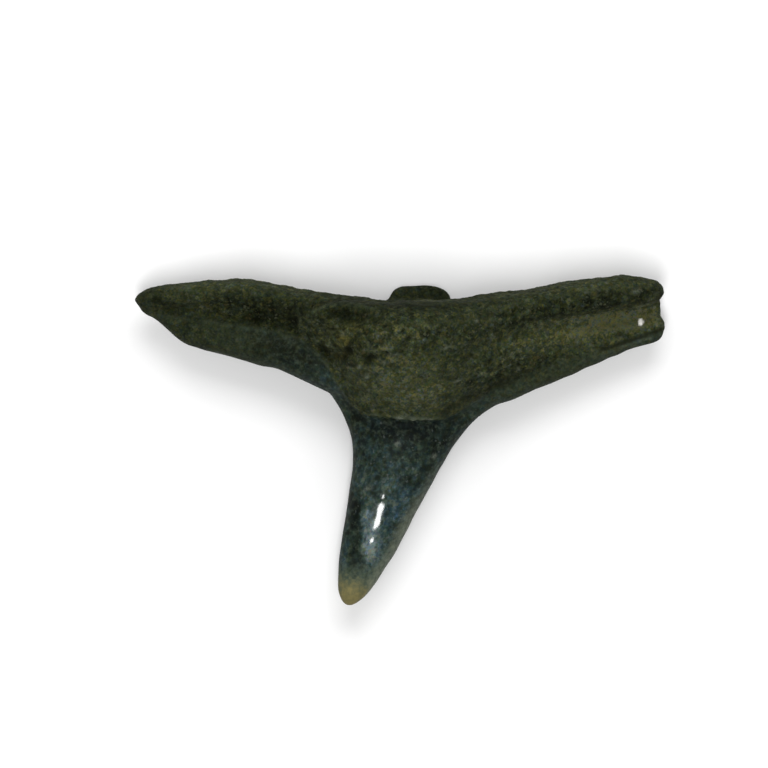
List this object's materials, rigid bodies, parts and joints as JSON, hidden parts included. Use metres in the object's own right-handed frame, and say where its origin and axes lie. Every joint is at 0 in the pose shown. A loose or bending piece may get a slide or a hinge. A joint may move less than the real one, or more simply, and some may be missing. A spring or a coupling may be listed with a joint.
{
  "type": "fossil angel shark tooth",
  "caption": "Small fossil angel shark tooth with a wide lobed root, low enamel shoulders, a slender glossy cusp and a worn tan tip, lying on its outer face.",
  "frame": {"origin": "on the flat worn spot under the crown, at the height of the surface that the tooth lies on", "axes": "+X along the root towards its longer lobe, +Y from the cusp towards the base of the root, +Z from the outer (labial) face that the tooth lies on to the inner (lingual) face"},
  "size_m": [0.013, 0.0081, 0.0041],
  "materials": {
    "fossil_tooth": "rough porous olive-grey fossil root, with smooth glossy blue-grey enamel on the cusp and shoulders"
  },
  "bodies": {
    "root": {"tooth": "fossil_tooth"}
  },
  "joints": []
}
